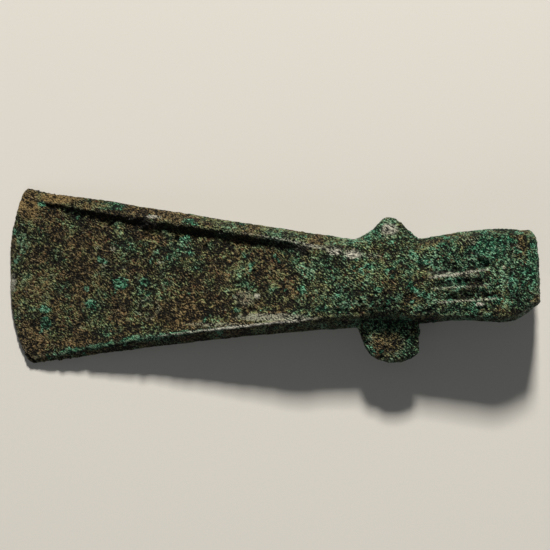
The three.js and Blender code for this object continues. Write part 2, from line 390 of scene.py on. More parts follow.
HASH_AXES = (73856093, 19349663, 83492791)
HASH_SEED = 2654435761
HASH_ROUNDS = (0x45D9F3B, 0x119DE1F3, 0x27D4EB2D)
WORD = 0xFFFFFFFF
CELL_START = 1000  # keeps every cell's number above 0
NOISE_GAIN = 1.7
JITTER = 0.45


def lattice(cells, seed):
    """Three repeatable random numbers from -1 to 1 for each lattice cell, by mixing its integers: each
    times a prime, joined by exclusive or, then shifted onto themselves and multiplied, three times."""
    mixed = np.zeros(cells.shape[:-1], np.uint64)
    for axis, prime in enumerate(HASH_AXES):
        mixed = mixed ^ cells[..., axis].astype(np.uint64) * np.uint64(prime)
    mixed = (mixed + np.uint64(seed * HASH_SEED)) & np.uint64(WORD)
    out = []
    for factor in HASH_ROUNDS:
        mixed = ((mixed >> np.uint64(16)) ^ mixed) * np.uint64(factor) & np.uint64(WORD)
        mixed = (mixed >> np.uint64(15)) ^ mixed
        out.append(mixed.astype(float) / (WORD // 2) - 1)
    return np.stack(out, axis=-1)


def noise(points, size, seed):
    """Smooth noise from about -1 to 1: a random slope at each lattice corner, blended between."""
    place = points / size + CELL_START
    base = np.floor(place).astype(np.int64)
    part = place - base
    weight = part**3 * (part * (part * 6 - 15) + 10)
    total = np.zeros(len(points))
    for corner in product((0, 1), repeat=3):
        slope = lattice(base + np.array(corner), SEED + seed)
        share = np.where(corner, weight, 1 - weight).prod(axis=1)
        total += share * (slope * (part - corner)).sum(axis=1)
    return total * NOISE_GAIN


def layered(points, size, seed, layers=3):
    """Noise with finer layers added, each half as large and half as strong."""
    return sum(noise(points, size / 2**k, seed + 7 * k) / 2**k for k in range(layers))


def nearest_spot(points, size, seed):
    """Distance to the nearest of one random point per lattice cell, in cells."""
    place = points / size + CELL_START
    base = np.floor(place).astype(np.int64)
    nearest = np.full(len(points), np.inf)
    for corner in product((-1, 0, 1), repeat=3):
        cell = base + np.array(corner)
        spot = cell + 0.5 + JITTER * lattice(cell, SEED + seed)
        nearest = np.minimum(nearest, np.linalg.norm(place - spot, axis=1))
    return nearest


# ---- The casting's skin ----


def normals_of(points, quads):
    """Each point's normal: the sum of its faces' diagonal cross products, made one long."""
    a, b, c, d = (points[quads[:, i]] for i in range(4))
    face = np.cross(c - a, d - b)
    total = np.zeros_like(points)
    for i in range(4):
        for axis in range(3):
            total[:, axis] += np.bincount(quads[:, i], face[:, axis], len(points))
    return total / np.maximum(np.linalg.norm(total, axis=1, keepdims=True), 1e-12)


def neighbour_mean(values, quads, rounds=1):
    """The mean of each point's neighbours, taken this many times over."""
    ends = np.concatenate([quads[:, [i, (i + 1) % 4]] for i in range(4)])
    ends = np.concatenate([ends, ends[:, ::-1]])
    count = np.bincount(ends[:, 0], minlength=len(values))
    flat = values.reshape(len(values), -1)
    for _ in range(rounds):
        sums = [np.bincount(ends[:, 0], flat[ends[:, 1], k], len(values)) for k in range(flat.shape[1])]
        flat = np.stack(sums, axis=1) / count[:, None]
    return flat.reshape(values.shape)


def turn(angles):
    """Rotation matrix from three angles, about X, then Y, then Z."""
    (cx, cy, cz), (sx, sy, sz) = np.cos(angles), np.sin(angles)
    about_x = np.array([[1, 0, 0], [0, cx, -sx], [0, sx, cx]])
    about_y = np.array([[cy, 0, sy], [0, 1, 0], [-sy, 0, cy]])
    about_z = np.array([[cz, -sz, 0], [sz, cz, 0], [0, 0, 1]])
    return about_z @ about_y @ about_x


def evened(points, quads, rounds=3):
    """Steps left by the fusing smoothed away: towards the neighbours, then a little further back out."""
    for _ in range(rounds):
        for share in EVENING:
            points = points + share * (neighbour_mean(points, quads) - points)
    return points


# ---- Corrosion and painted highlights: where each kind lies on the upper face, as (x, y, half length, half width, amount) ----

# Green crust, pale crust (on the upper lug's face partly a painted highlight), brown earth, metal worn
# smooth by rubbing (partly a painted highlight on the neck and the crests), painted highlights, and the
# corner scoured bare.
VERDIGRIS = (
    (38, -2.4, 3, 2.2, 1), (46.3, -1.7, 2, 1.5, 1), (27.6, -9.2, 2.6, 1.8, 0.9),
    (12.3, -15.7, 1.8, 2.4, 1), (11.6, -10.9, 2.4, 1.8, 0.8), (31.6, 5.4, 1.4, 1, 0.8),
    (26.5, -4.1, 1.5, 1.2, 0.8), (52.7, 8.2, 4.5, 2.5, 0.5), (61.9, 7.8, 1.8, 1.2, 0.7),
    (10.9, 24.8, 2, 0.8, 0.9), (33, 24, 7, 1.6, 0.9), (62, 18.4, 3, 1.5, 0.8), (162.7, 10.2, 6.5, 4.4, 1),
    (141.2, 4.8, 3, 1.2, 0.8), (147, 10.9, 1.4, 1.2, 0.8), (178.2, 4.8, 1.9, 8.5, 1),
    (170.8, -2.4, 2.2, 4.2, 0.9), (141.9, -6.8, 2, 1.6, 0.9), (149.7, -8.2, 1.6, 1.1, 0.8),
    (159.6, -10.2, 2.2, 1.4, 0.8), (134.4, -14.3, 3, 1.2, 0.9), (20.4, -24.8, 2.5, 0.9, 0.9),
    (43.2, -20.4, 3.4, 0.9, 0.9), (2, 5.4, 1, 1.4, 1), (1.4, 15, 0.9, 1.5, 0.9), (174, -8, 3, 3, 0.5),
    (124.5, 16, 1.5, 3, 0.7), (121, -23, 1.6, 2.5, 0.7),
)
# Pale crust; the patch on the upper lug's face is partly a painted highlight
CHALK_AND_HIGHLIGHT_PATCHES = (
    (0.8, -2, 1.5, 3.6, 1), (35.7, 9.5, 1.7, 1.3, 0.9), (32.7, 3.4, 1.3, 0.9, 0.8),
    (38.5, 3.1, 1.7, 1, 0.9), (85, -6.5, 0.9, 0.9, 1), (73.5, -11.2, 1.4, 0.8, 0.8),
    (51.7, 4.8, 1.4, 0.9, 0.8), (51, -1.4, 1.4, 0.8, 0.8), (50.7, 20.1, 2, 0.7, 1),
    (129.3, 15.4, 3.4, 2.8, 0.8), (160, -9.2, 1.3, 0.6, 1), (147, 14.2, 6, 1.1, 1),
    (53, -10.9, 0.9, 2, 0.4), (172.5, 9.9, 0.9, 1.1, 1), (168.4, 3.7, 0.6, 2, 0.8),
    (170.8, 7.8, 0.4, 2.6, 0.8), (157.2, 11.7, 3, 1.7, 0.7), (165.5, 8, 3, 2, 0.4),
    (169.1, -2.7, 0.5, 1.8, 0.8), (173.2, -2.7, 0.45, 2, 0.8), (158, 12.4, 2.6, 1.2, 0.6),
)
EARTH = (
    (57, -12.3, 10, 4.5, 0.9), (6.1, 24.2, 3.4, 4.6, 1), (17, 26.9, 7.5, 1.8, 1),
    (50.4, 21.2, 8.5, 1.8, 1), (136.8, -7.5, 2.6, 2, 0.9), (173.6, 9.5, 2.6, 4.5, 0.7),
    (46, 14, 4.5, 1.4, 0.8), (178.8, -7.4, 1.6, 1.9, 0.9), (142.6, -14.2, 4.2, 1.2, 0.9),
    (29, 2, 9, 8, 0.5), (8, -22, 6, 7, 0.7), (30, -22.5, 14, 1.8, 0.6), (92, 5, 6, 4, 0.4),
    (48.2, 17.3, 2.6, 1.4, 0.9), (129, -22.5, 6, 4.5, 0.9),
)
# Metal worn smooth by rubbing, partly a painted highlight: the neck's patches and the crest strips stand in
# for highlights
RUBBED_AND_HIGHLIGHTS = (
    (111.3, 8.6, 3, 1.6, 0.8), (117.2, 7.6, 4, 1.8, 0.8), (124, 7, 4, 1, 0.4), (90, -13.6, 13, 1.3, 1),
    (101, 10.2, 13, 0.8, 0.6), (80.6, -7.5, 4.2, 3, 0.5), (152, 0.6, 9, 0.9, 0.6),
    (70, -16.2, 12, 0.8, 0.5),
)
# Painted highlights, as near-white spots and short streaks on the upper face
PAINTED_HIGHLIGHT_PATCHES = (
    (111.3, 8.2, 1.9, 1, 1), (117.6, 7.4, 2.2, 1.2, 1), (129.5, 16, 2.8, 1.8, 0.75),
    (49, 20.3, 2, 0.6, 1), (150, 1.3, 7, 0.5, 0.75), (160, -9.2, 1.3, 0.6, 1), (85, -6.5, 0.9, 0.8, 0.8),
    (0.8, -2, 1.2, 3, 0.7),
)
BARE = (
    (6.1, 23.8, 3.6, 5, 1), (17, 26.6, 7.5, 1.8, 0.9), (28, 24, 8, 1.4, 0.7),
)

# Casting and wear marks on the upper face: dents and bumps as (x, y, half length, half width, height).
MARKS = (
    (136.8, -7.6, 2.9, 2.2, -0.45), (48.2, 17.3, 2.8, 1.5, 0.9), (152, 6.6, 9.5, 3.6, -0.35),
    (47.5, -10.9, 1.7, 1.7, 0.3), (142, 4.6, 4, 1.2, -0.2), (174, 3, 2, 5, -0.25),
    (131, -1, 3, 2.4, -0.3), (22, 20.5, 3, 0.9, -0.25), (163, 9.8, 5.5, 3.4, 0.3),
)

# How strongly each painted highlight line along a crest and the green crest line show, and how green the
# whole is, along the head.
lower_crest_highlight = curve((40, 0), (60, 0.6), (74, 1), (98, 1), (108, 0.1))
upper_crest_highlight = curve((60, 0), (84, 0.3), (92, 0.55), (106, 0.55), (112, 0))
green_crest = curve((10, 0), (16, 0.7), (50, 1), (72, 0.75), (86, 0.1))
green_share = curve((0, -0.03), (60, 0.04), (95, 0.16), (110, 0.3), (145, 0.44), (180, 0.62))
# Width of the painted highlight lines along the crests and the ribs' edges
HIGHLIGHT_LINE_WIDTH = 0.45
CREST_GREEN_WIDTH = 1.1
BLISTER = {"at": (47.5, -10.9), "radius": 2.6, "width": 0.7, "depth": 0.45, "crust": 0.9}
CRACK = {"from": (4.6, -25.6), "to": (9.2, -29.8), "half_width": 0.45, "depth": 0.8}
FLASH = {"half_width": 0.55, "height": 0.22}

# Relief over the skin: the size of each form along the skin, its height or depth, and for what stands
# alone how high the noise must run before it starts and how steeply it then grows.
SWELLS = {"size": 8, "height": 0.17}
LUMPS = {"size": 2.9, "height": 0.24}
GRAINS = {"size": 1.25, "height": 0.3, "level": 0.45}
COARSE_GRIT = {"size": 1.5, "height": 0.2}
FINE_GRIT = {"size": 1, "height": 0.16}
PITS = {"size": 1.9, "height": 0.35, "start": 0.45, "growth": 2.6}
CRATERS = {"size": 4.6, "height": 0.4, "start": 0.55, "growth": 3}
BUBBLES = {"size": 3.4, "height": 0.3, "start": 0.5, "growth": 2.5}
GREEN_CRUST = 0.16
PALE_CRUST = 0.08
EDGE_RELIEF = 0.25
FULL_RELIEF_HALF = 1.6


def bell(off, half_width):
    """1 on a line and less off it: e to the power of minus the square of off over half width."""
    return np.exp(-((off / half_width) ** 2))


def rib_lines(p):
    """1 along a painted highlight line on the edge of each rib, a little below its groove's line, and 1
    along a painted shade line in the foot of the groove, right above that line: bell curves that fade
    out towards the groove's ends."""
    worn, dark = np.zeros(len(p)), np.zeros(len(p))
    for groove in GROOVES:
        along, off = off_groove(groove, p[:, 0], p[:, 1])
        window = smooth(along * 5) * smooth((1 - along) * 6)
        edge = bell(off + 0.9 * groove["below"], HIGHLIGHT_LINE_WIDTH)
        worn = np.maximum(worn, edge * window * groove["worn"])
        dark = np.maximum(dark, bell(off - 0.2, 0.7) * window)
    return worn, dark


def off_blister(p):
    """Distance outwards from the blister's circle: from its middle, less its radius."""
    middle_x, middle_y = BLISTER["at"]
    return np.hypot(p[:, 0] - middle_x, p[:, 1] - middle_y) - BLISTER["radius"]


def patch(p, x, y, half_length, half_width):
    """1 in the middle of an ellipse, falling to 0 past its edge."""
    away = np.hypot((p[:, 0] - x) / half_length, (p[:, 1] - y) / half_width)
    return smooth(1.35 - away * 0.9)


def patches(p, table, raggedness):
    """The strongest of a table's patches at each point, their edges made ragged by noise."""
    worn = p + 0.5 * np.stack([raggedness, -raggedness, 0 * raggedness], axis=-1)
    return np.maximum.reduce([amount * patch(worn, *place) for *place, amount in table])


def marks(p):
    """Height of the dents and bumps, of the blister's ring and of the crack by the lower corner."""
    height = sum(amount * patch(p, *place) for *place, amount in MARKS)
    height = height - BLISTER["depth"] * smooth(1 - np.abs(off_blister(p)) / BLISTER["width"])
    start, end = np.array(CRACK["from"], float), np.array(CRACK["to"], float)
    along = clamp((p[:, :2] - start) @ (end - start) / ((end - start) @ (end - start)))
    away = np.linalg.norm(p[:, :2] - start - along[:, None] * (end - start), axis=1)
    return height - CRACK["depth"] * smooth(1 - away / CRACK["half_width"])


def warped(p):
    """The hand-made unevenness of the casting: every point strays a little, together with its neighbours."""
    stray = np.stack([noise(p, 16, 11), noise(p, 13, 12), 0.4 * noise(p, 18, 13)], axis=-1)
    return p + STRAY * stray


def crusts(p, upper, facing_up, ragged, flecks):
    """Amounts of green crust, pale crust (on the upper lug's face partly a painted highlight), earth and bare
    metal, and how green the rest is: each is the strongest of its patches and of scattered places where
    noise runs high, more green towards the butt."""
    x, y = p[:, 0], p[:, 1]
    earth = patches(p, EARTH, ragged) * upper
    bare = patches(p, BARE, ragged) * upper
    greening = clamp(0.38 + green_share(x) + 0.6 * layered(p, 9, 35) + 0.25 * flecks - 0.5 * earth)

    scattered = smooth((layered(p, 5, 31) + 0.6 * flecks + green_share(x) - 0.75) * 2.2)
    verdigris = np.maximum(patches(p, VERDIGRIS, ragged) * upper * (0.95 + 0.5 * flecks), scattered)
    off_crest = y - key_lines(x)[6] - 0.2 + 0.5 * ragged
    crest = bell(off_crest, CREST_GREEN_WIDTH) * green_crest(x) * upper
    verdigris = np.maximum(verdigris, crest * (0.95 + 0.4 * layered(p, 3, 61, 2)))

    ring = smooth(1.2 - np.abs(off_blister(p) - BLISTER["crust"]) / BLISTER["crust"])
    ring = ring * smooth(0.7 + 1.4 * noise(p, 1.6, 63)) * upper
    scattered = smooth((0.7 * noise(p, 3.1, 37) + flecks - 0.95) * 2.4) * 0.7
    chalk_and_highlight = np.maximum(patches(p, CHALK_AND_HIGHLIGHT_PATCHES, ragged) * facing_up, 0.9 * ring)
    chalk_and_highlight = np.maximum(chalk_and_highlight * (0.75 + 0.6 * flecks), scattered)
    return {"verdigris": verdigris, "chalk_and_highlight": chalk_and_highlight, "earth": earth, "bare": bare, "greening": greening}


def rubbing_and_painted_highlights(p, upper, facing_up, ragged):
    """Amounts of metal worn smooth by rubbing, partly a painted highlight, and of painted highlights:
    patches, and bell curves along crests and ribs.
    """
    x, y = p[:, 0], p[:, 1]
    _, crest_top, _, _, _, _, crest_bottom, _ = key_lines(x)
    rubbed_and_highlight = patches(p, RUBBED_AND_HIGHLIGHTS, ragged * 0.6) * upper
    # Painted highlights: bright lines along both flange crests and the ribs' edges, and bright spots
    painted_highlight = np.maximum.reduce([
        bell(y - crest_bottom - 0.3, HIGHLIGHT_LINE_WIDTH) * lower_crest_highlight(x),
        bell(y - crest_top + 0.8, HIGHLIGHT_LINE_WIDTH) * upper_crest_highlight(x),
        rib_lines(p)[0],
        patches(p, PAINTED_HIGHLIGHT_PATCHES, ragged * 0.5),
    ])
    return {"rubbed_and_highlight": rubbed_and_highlight, "painted_highlight": painted_highlight * facing_up}


def standing_alone(p, form, seed, side=1):
    """Height of scattered bubbles, or depth of pits with side -1: a smooth step of the noise over the
    form's start, times its growth and its height."""
    over = side * layered(p, form["size"], seed, 2) - form["start"]
    return form["height"] * smooth(over * form["growth"])


def relief(p, normals, upper, ragged, flecks, kinds):
    """Height over the smooth skin: swells, lumps and grains, less pits and craters, plus bubbles, the
    thickness of the crusts, the marks, and the flash along the casting seam. Metal worn smooth by
    rubbing, with the painted highlight patches among it, has less grain."""
    smoothness = clamp(kinds["rubbed_and_highlight"] * 0.8 + 0.3 * (1 - upper) * smooth(normals[:, 2] + 0.6))
    grain = 1 - 0.6 * smoothness
    height = SWELLS["height"] * layered(p, SWELLS["size"], 41, 2)
    height = height + LUMPS["height"] * layered(p, LUMPS["size"], 43, 2) * grain
    grains = GRAINS["height"] * (GRAINS["level"] - nearest_spot(p, GRAINS["size"], 45))
    grains = grains + COARSE_GRIT["height"] * noise(p, COARSE_GRIT["size"], 47)
    grains = grains + FINE_GRIT["height"] * noise(p, FINE_GRIT["size"], 48)
    height = height + grain * (grains - standing_alone(p, PITS, 51, -1))
    height = height - standing_alone(p, CRATERS, 53, -1) + standing_alone(p, BUBBLES, 55)
    height = height + GREEN_CRUST * kinds["verdigris"] * (0.6 + flecks) + PALE_CRUST * kinds["chalk_and_highlight"]
    height = height + marks(p + 0.5 * ragged[:, None] * np.array([1.0, -0.7, 0.0])) * upper
    flash = bell(p[:, 2], FLASH["half_width"]) * smooth((np.abs(normals[:, 1]) - 0.75) * 6)
    return height + FLASH["height"] * flash * smooth(0.5 + layered(p, 7, 57))


def sunk_and_proud(p, quads, normals):
    """How far each point lies below the mean of its neighbours, near and further round, and how far
    above it, both as amounts from 0 to 1."""
    near, wide = (((neighbour_mean(p, quads, rounds) - p) * normals).sum(axis=1) for rounds in (2, 9))
    sunk = clamp(near * 9) * 0.6 + clamp(wide * 4) * 0.4
    proud = clamp(-near * 8) * 0.6 + clamp(-wide * 3) * 0.5
    return sunk, clamp(proud)


def painted_shade_and_darkening_places(p, normals, upper, facing_up, bare):
    """Where the colour is darkened: painted shade along the foot of the grooves, a painted shadow at the foot
    of the upper flange and painted shade on slopes that face the lower side, away from the key light; and a
    plain darkening over the front of the blade, strongest at the cutting edge."""
    x, y = p[:, 0], p[:, 1]
    _, _, inner_top, foot_top, *_ = key_lines(x)
    foot = smooth((y - foot_top + 0.7) / 0.8) * smooth((inner_top - y - 0.1) / 0.6)
    return np.maximum.reduce([
        # painted shade along the foot of each groove
        0.4 * rib_lines(p)[1] * facing_up,
        # painted shadow of the upper flange, at its foot
        0.75 * foot * upper * smooth((x - 9) / 6) * smooth((112 - x) / 14),
        # darker towards the front of the blade and at the cutting edge
        (0.28 * smooth((70 - x) / 50) + 0.2 * smooth((4 - x) / 3)) * (1 - bare),
        # painted shade on slopes that face the lower side, away from the key light
        0.4 * smooth(-1.6 * normals[:, 1] - 0.3) * smooth(normals[:, 2] * 2 + 1),
    ])


def on_top(p, normals):
    """1 above the seam where the skin looks up or sideways, fading to 0 below it and where it looks down."""
    return smooth(normals[:, 2] * 2.5 + 0.6) * smooth(p[:, 2] + 0.8)


def corroded(p, quads):
    """The skin pushed in and out along its normals by the relief, less where the casting is thin, and
    the amount of each kind of finish, painted highlight and painted shade at each point."""
    normals = normals_of(p, quads)
    upper = on_top(p, normals)
    facing_up = upper * smooth((normals[:, 2] - 0.15) * 3)
    ragged = layered(p, 2.2, 21, 2)
    flecks = layered(p, 2.1, 33, 2)
    kinds = {**crusts(p, upper, facing_up, ragged, flecks), **rubbing_and_painted_highlights(p, upper, facing_up, ragged)}

    thin = clamp(np.abs(p[:, 2]) / FULL_RELIEF_HALF + EDGE_RELIEF)
    height = relief(p, normals, upper, ragged, flecks, kinds)
    pushed = p + normals * (height * thin)[:, None]

    sunk, kinds["proud"] = sunk_and_proud(pushed, quads, normals)
    dark = painted_shade_and_darkening_places(p, normals, upper, facing_up, kinds["bare"])
    # Painted shade in sunk places, with the painted shade, painted shadow and blade darkening worked out
    # above: the colour goes near-black by this amount
    kinds["painted_shade_and_darkening"] = clamp(np.maximum(sunk, dark))
    return pushed, kinds


def laid_down(p):
    """Tipped about Y by the blade's taper, so that the underside's flange crests lie level."""
    tilt = np.arctan(TAPER)
    x = p[:, 0] * np.cos(tilt) - p[:, 2] * np.sin(tilt)
    z = p[:, 0] * np.sin(tilt) + p[:, 2] * np.cos(tilt)
    return np.stack([x, p[:, 1], z], axis=-1)


def onto_cad(body_points, lowest_lug):
    """The move that lays the smooth form where the CAD lies: middle on middle along X, against the low
    side of its box across Y, and on its floor."""
    form = laid_down(body_points)
    low, high = (np.array(corner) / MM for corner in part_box("axe_head"))
    return np.array([
        (low[0] + high[0]) / 2 - (form[:, 0].min() + form[:, 0].max()) / 2,
        low[1] - min(form[:, 1].min(), lowest_lug[:, 1].min()),
        low[2] - form[:, 2].min(),
    ])


def skin_object(name, points, quads, amounts, grain_place):
    """The piece as an object at the origin, in metres, with its amounts and the place its grain follows."""
    mesh = bpy.data.meshes.new(name)
    mesh.from_pydata((points * MM).tolist(), [], quads.tolist())
    mesh.shade_smooth()
    for kind, amount in amounts.items():
        mesh.attributes.new(kind, "FLOAT", "POINT").data.foreach_set("value", amount.astype(np.float32))
    grain = (grain_place * MM).astype(np.float32)
    mesh.attributes.new("grain_place", "FLOAT_VECTOR", "POINT").data.foreach_set("vector", grain.ravel())
    skin = bpy.data.objects.new(name, mesh)
    bpy.context.scene.collection.objects.link(skin)
    return skin


def axe_head():
    """The finished piece: body and lugs fused, evened, warped, corroded and laid where the CAD lies."""
    spin = turn(FUSING_TURN)
    body_points, body_quads = body_skin()
    skins = [mesh_from("body_form", body_points @ spin.T, body_quads)]
    for outline, lug in ((upper_lug_outline(), UPPER_LUG), (lower_lug_outline(), LOWER_LUG)):
        lug_points, *lug_faces = lug_skin(outline, lug)
        skins.append(mesh_from("lug_form", lug_points @ spin.T, *lug_faces))
    points, quads = fused(*skins)
    points = evened(points @ spin, quads)
    points, kinds = corroded(warped(points), quads)

    placed = laid_down(points) + onto_cad(body_points, lower_lug_outline())
    placed[:, 2] = np.maximum(placed[:, 2], 0)
    return skin_object("axe_head_skin", placed, quads, kinds, points)


# ---- Patina ----


def shade(red, green, blue):
    """A colour given as everyday 0 to 255 values, in the linear values the shaders use."""
    value = np.array([red, green, blue]) / 255
    linear = np.where(value <= 0.04045, value / 12.92, ((value + 0.055) / 1.055) ** 2.4)
    return (*(float(v) for v in linear), 1.0)


class Nodes:
    """A short way to write a node material: each call adds a node and gives back its output."""

    def __init__(self, material):
        material.use_nodes = True
        self.tree = material.node_tree
        self.surface = self.tree.nodes["Principled BSDF"]

    def add(self, kind, inputs=None, output=0, **settings):
        """A node of this kind with its settings and inputs; its output, by name or number, comes back."""
        node = self.tree.nodes.new(kind)
        for name, value in settings.items():
            setattr(node, name, value)
        for name, value in (inputs or {}).items():
            self.feed(node.inputs[name], value)
        return node.outputs[output]

    def feed(self, socket, value):
        """Another node's output is linked to the socket, and a plain value is set on it."""
        if isinstance(value, bpy.types.NodeSocket):
            self.tree.links.new(value, socket)
        else:
            socket.default_value = value

    def amount(self, name):
        """One of the amounts that the skin's points carry."""
        return self.add("ShaderNodeAttribute", attribute_name=name, output="Fac")

    def place(self):
        """The place that the grain follows, in metres in the casting's own frame."""
        return self.add("ShaderNodeAttribute", attribute_name="grain_place", output="Vector")

    def drawn_out(self, place, degrees, stretch):
        """The place turned about Z and stretched, so that grain drawn on it lies along a slant."""
        return self.add("ShaderNodeMapping", {
            "Vector": place, "Rotation": (0, 0, np.radians(degrees)), "Scale": (stretch, 1 / stretch, 1),
        }, vector_type="TEXTURE")

    def noise(self, place, size_mm, detail, roughness=0.6, output="Fac"):
        """Cloudy noise with forms of about this size."""
        return self.add("ShaderNodeTexNoise", {
            "Vector": place, "Scale": 1 / (size_mm * MM), "Detail": detail, "Roughness": roughness,
        }, output=output)

    def cells(self, place, size_mm, output="Distance"):
        """Cells of this size: the distance to each one's middle, or its random colour."""
        return self.add("ShaderNodeTexVoronoi", {"Vector": place, "Scale": 1 / (size_mm * MM)}, output=output)

    def maths(self, operation, a, b):
        """One sum of two values."""
        return self.add("ShaderNodeMath", {0: a, 1: b}, operation=operation)

    def scaled(self, value, factor, middle=0.0):
        """The value's distance from a middle, times a factor."""
        away = self.maths("SUBTRACT", value, middle) if middle else value
        return self.maths("MULTIPLY", away, factor)

    def total(self, first, *others):
        """All the values added up."""
        for other in others:
            first = self.maths("ADD", first, other)
        return first

    def between(self, value, low, high, to_low=0.0, to_high=1.0):
        """The value's way from low to high, held to its ends and carried over to another pair of ends."""
        return self.add("ShaderNodeMapRange", {
            "Value": value, "From Min": low, "From Max": high, "To Min": to_low, "To Max": to_high,
        })

    def ramp(self, value, stops, colours):
        """Each colour at its stop, and blends between them."""
        output = self.add("ShaderNodeValToRGB", {"Fac": value})
        elements = output.node.color_ramp.elements
        for i, (position, colour) in enumerate(zip(stops, colours)):
            element = elements[i] if i < 2 else elements.new(position)
            element.position = position
            element.color = shade(*colour)
        return output

    def mix(self, share, first, second):
        """The first colour where the share is 0, the second where it is 1."""
        mixed = self.add("ShaderNodeMix", data_type="RGBA", output=2)
        node = mixed.node
        self.feed(node.inputs[0], share)
        self.feed(node.inputs[6], first)
        self.feed(node.inputs[7], second)
        return mixed

    def broken(self, amount, roughener, width):
        """An amount cut by noise into a ragged but fairly crisp patch."""
        edge = self.total(amount, self.scaled(roughener, 0.9, 0.5))
        return self.between(edge, 0.5 - width, 0.5 + width)


# Sizes of the grain in millimetres, and the slant along which the scouring has drawn its finer part.
PATCHY, COARSE, MEDIUM, CRUMB, FINE = 9, 3.4, 0.85, 0.62, 0.46
BEND_SIZE = 0.9
BEND_REACH = 0.8
GRAIN_SLANT = -42
GRAIN_STRETCH = 1.42

# Each finish from its darkest pits to its lightest tops, and the tones at which its colours lie.
TONES = (0.34, 0.4, 0.45, 0.5, 0.57)
BROWN = ((7, 5, 2), (24, 19, 8), (55, 45, 22), (96, 80, 46), (176, 150, 104))
OLIVE = ((5, 6, 3), (20, 24, 10), (50, 58, 27), (90, 102, 56), (178, 190, 132))
GREEN = ((1, 14, 9), (8, 50, 32), (26, 98, 66), (70, 152, 112), (162, 224, 190))
EMERALD_TONES = (0.34, 0.4, 0.45, 0.5, 0.58)
EMERALD = ((2, 30, 20), (8, 62, 42), (22, 106, 74), (60, 158, 116), (156, 230, 194))
PALE_TONES = (0.34, 0.44, 0.54)
PALE = ((38, 40, 27), (112, 116, 88), (206, 208, 184))
RUST_TONES = (0.36, 0.54)
RUST = ((36, 13, 7), (128, 66, 42))
PATCH_RIM = (4, 12, 7)
WORN_TOPS = (132, 126, 94)
SCOURED = (158, 134, 88)
# Light grey of the rubbed metal, partly a painted highlight
POLISHED_AND_HIGHLIGHT = (190, 192, 172)
# Near-white of the painted highlights
PAINTED_HIGHLIGHT_COLOUR = (224, 222, 206)
# Near-black of the painted shade and painted shadow, and of the darkening towards the blade's front
PAINTED_SHADE_AND_DARKENING = (6, 6, 3)

SHEEN = 0.22
BUMP_DISTANCE = 0.006


def grain(n):
    """The noises of the finish: patchy and coarse ones, finer ones drawn out along the scouring, and
    crumbs, which are cells with bent edges that have two random numbers each."""
    place = n.place()
    slanted = n.drawn_out(place, GRAIN_SLANT, GRAIN_STRETCH)
    bend = n.noise(slanted, BEND_SIZE, 1, 0.5, output="Color")
    bent = n.add("ShaderNodeVectorMath", {0: bend, 1: (0.5, 0.5, 0.5)}, operation="SUBTRACT")
    reach = (BEND_REACH * MM,) * 3
    bent = n.add("ShaderNodeVectorMath", {0: bent, 1: reach, 2: slanted}, operation="MULTIPLY_ADD")
    pick = n.add("ShaderNodeSeparateColor", {"Color": n.cells(bent, CRUMB, "Color")})
    return {
        "patchy": n.noise(place, PATCHY, 2),
        "coarse": n.noise(place, COARSE, 3),
        "medium": n.noise(slanted, MEDIUM, 1, 0.5),
        "fine": n.noise(slanted, FINE, 0.5, 0.5),
        "crumb": n.cells(bent, CRUMB),
        "pick": pick,
        "second_pick": pick.node.outputs[1],
    }


def ground(n, g, tone, brown):
    """The even part of the patina: brown to olive to green as the skin says and coarse noise leans it,
    with a few crumbs of rust and of pale crust, and brown earth over it."""
    olive = n.ramp(tone, TONES, OLIVE)
    green = n.ramp(tone, TONES, GREEN)
    pale = n.ramp(tone, PALE_TONES, PALE)
    rust = n.ramp(tone, RUST_TONES, RUST)
    lean = n.total(n.amount("greening"), n.scaled(g["coarse"], 1.25, 0.5), n.scaled(g["pick"], 0.5, 0.5))
    colour = n.mix(n.between(lean, 0.15, 0.45), brown, olive)
    colour = n.mix(n.between(lean, 0.55, 1.05, 0.0, 0.85), colour, green)
    rusty = n.between(n.total(g["second_pick"], n.scaled(g["coarse"], 0.25)), 1.08, 1.1)
    colour = n.mix(n.scaled(rusty, 0.8), colour, rust)
    speckled = n.between(n.total(g["pick"], n.scaled(g["coarse"], -0.2)), 0.86, 0.88)
    colour = n.mix(n.scaled(speckled, 0.35), colour, pale)
    earthy = n.broken(n.amount("earth"), g["medium"], 0.3)
    return n.mix(n.scaled(earthy, 0.75), colour, brown)


def crusted(n, g, tone, colour):
    """The green and pale crusts laid over a colour, the green ones with a dark rim where the share of
    crust is between none and all: share times (1 - share)."""
    crust = n.broken(n.amount("verdigris"), g["medium"], 0.14)
    rim = n.scaled(n.maths("MULTIPLY", crust, n.maths("SUBTRACT", 1.0, crust)), 2.4)
    colour = n.mix(n.scaled(crust, 0.95), colour, n.ramp(tone, EMERALD_TONES, EMERALD))
    colour = n.mix(rim, colour, shade(*PATCH_RIM))
    # Pale crust, on the upper lug's face partly a painted highlight
    chalky_and_highlight = n.broken(n.amount("chalk_and_highlight"), g["medium"], 0.16)
    return n.mix(n.scaled(chalky_and_highlight, 0.85), colour, n.ramp(tone, PALE_TONES, PALE))


